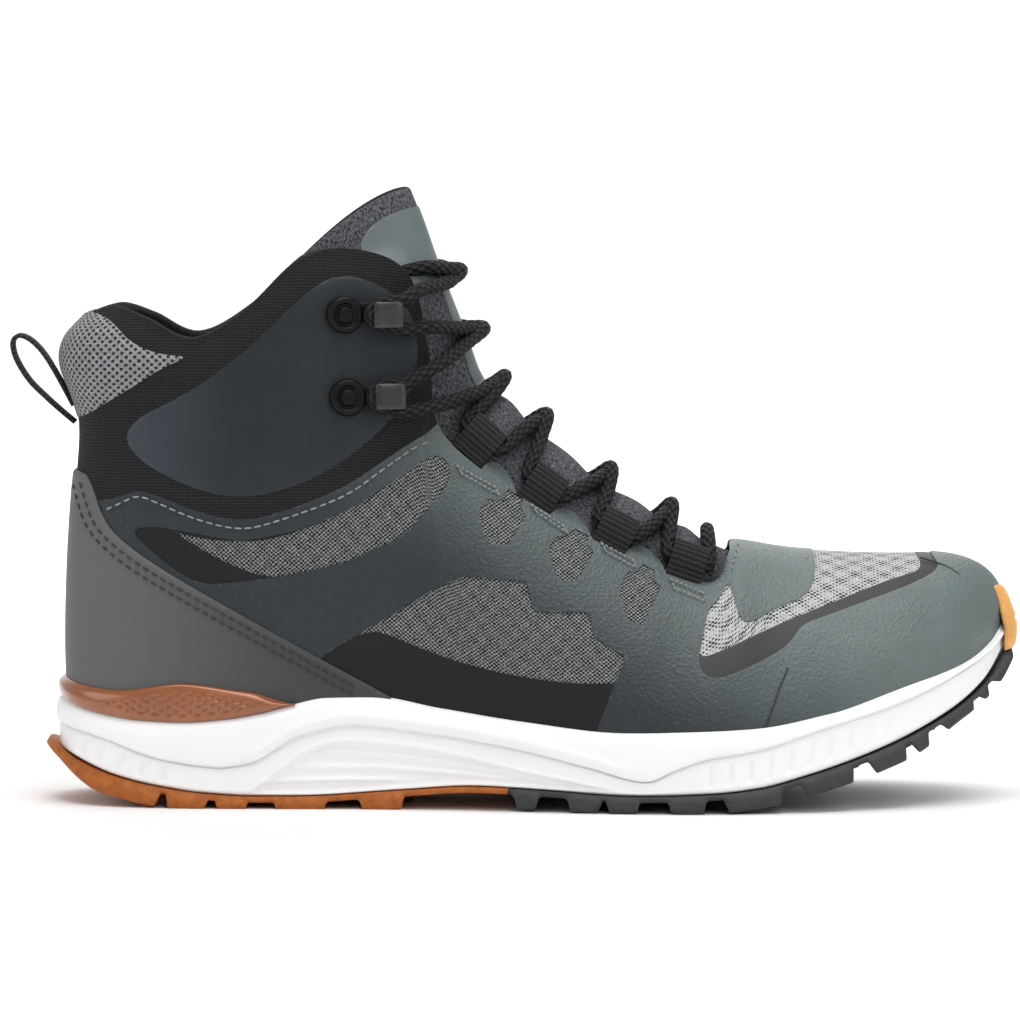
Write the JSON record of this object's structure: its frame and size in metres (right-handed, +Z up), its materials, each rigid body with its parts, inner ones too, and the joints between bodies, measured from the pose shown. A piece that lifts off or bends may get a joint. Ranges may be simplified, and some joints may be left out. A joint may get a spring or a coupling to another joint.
{
  "type": "fishing boot",
  "caption": "Mid-cut lace-up fishing boot with a cupped foam sole, lugged rubber outsole, film overlays over mesh, speed hooks and a heel pull loop.",
  "frame": {"origin": "middle of the boot's footprint box, on the floor plane that the lugs stand on", "axes": "+X from heel to toe, +Z up, +Y to the inner (medial) side of the right foot"},
  "size_m": [0.3148, 0.1075, 0.1896],
  "materials": {
    "gum_rubber": "matte moulded rubber",
    "black_rubber": "matte moulded rubber",
    "amber_rubber": "matte moulded rubber",
    "white_foam": "satin moulded foam",
    "copper_plastic": "gloss, metallic tint",
    "grey_foam": "foam with a knit cover",
    "knitted_mesh": "open knitted mesh",
    "grey_film": "rubberised, matte",
    "slate_film": "grained film",
    "heather_knit": "heather knit over foam",
    "black_cord": "round braid",
    "black_webbing": "woven webbing",
    "black_metal": "black gloss paint"
  },
  "bodies": {
    "root": {"outsole_heel": "gum_rubber", "outsole_forefoot": "black_rubber", "toe_guard": "amber_rubber", "midsole": "white_foam", "heel_clip": "copper_plastic", "insole": "grey_foam", "upper": "knitted_mesh", "heel_counter": "grey_film", "toe_cap": "slate_film", "quarter_film": "slate_film", "ankle_panel_lateral": "slate_film", "ankle_panel_medial": "slate_film", "tongue": "heather_knit", "lace": "black_cord", "pull_loop": "black_webbing", "lace_loop_lateral_1": "black_webbing", "lace_loop_lateral_2": "black_webbing", "lace_loop_lateral_3": "black_webbing", "lace_loop_lateral_4": "black_webbing", "hook_lateral_1": "black_metal", "hook_lateral_2": "black_metal", "lace_loop_medial_1": "black_webbing", "lace_loop_medial_2": "black_webbing", "lace_loop_medial_3": "black_webbing", "lace_loop_medial_4": "black_webbing", "hook_medial_1": "black_metal", "hook_medial_2": "black_metal"}
  },
  "joints": []
}
